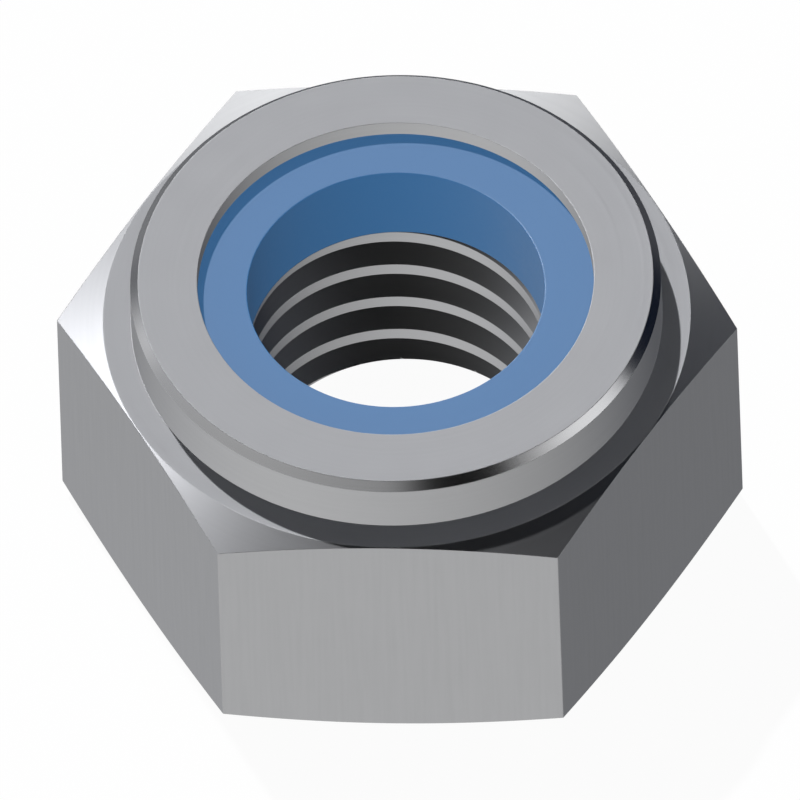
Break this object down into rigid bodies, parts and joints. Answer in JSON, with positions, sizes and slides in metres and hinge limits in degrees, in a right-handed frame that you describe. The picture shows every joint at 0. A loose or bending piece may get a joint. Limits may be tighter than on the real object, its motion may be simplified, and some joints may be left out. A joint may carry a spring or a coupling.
{
  "type": "nylon insert lock nut",
  "caption": "Hexagon lock nut with a round collar closed over a nylon ring, a countersunk mouth and a coarse right-hand thread.",
  "frame": {"origin": "middle of the bearing face, on the bolt axis", "axes": "+Z along the bolt axis from the bearing face to the collar, +X through a corner of the hexagon"},
  "size_m": [0.0196, 0.017, 0.01],
  "materials": {
    "plated_steel": "bright turned and milled steel with a thin even plating",
    "blue_nylon": "smooth moulded nylon, satin"
  },
  "bodies": {
    "root": {"nut_body": "plated_steel", "nylon_insert": "blue_nylon"}
  },
  "joints": []
}
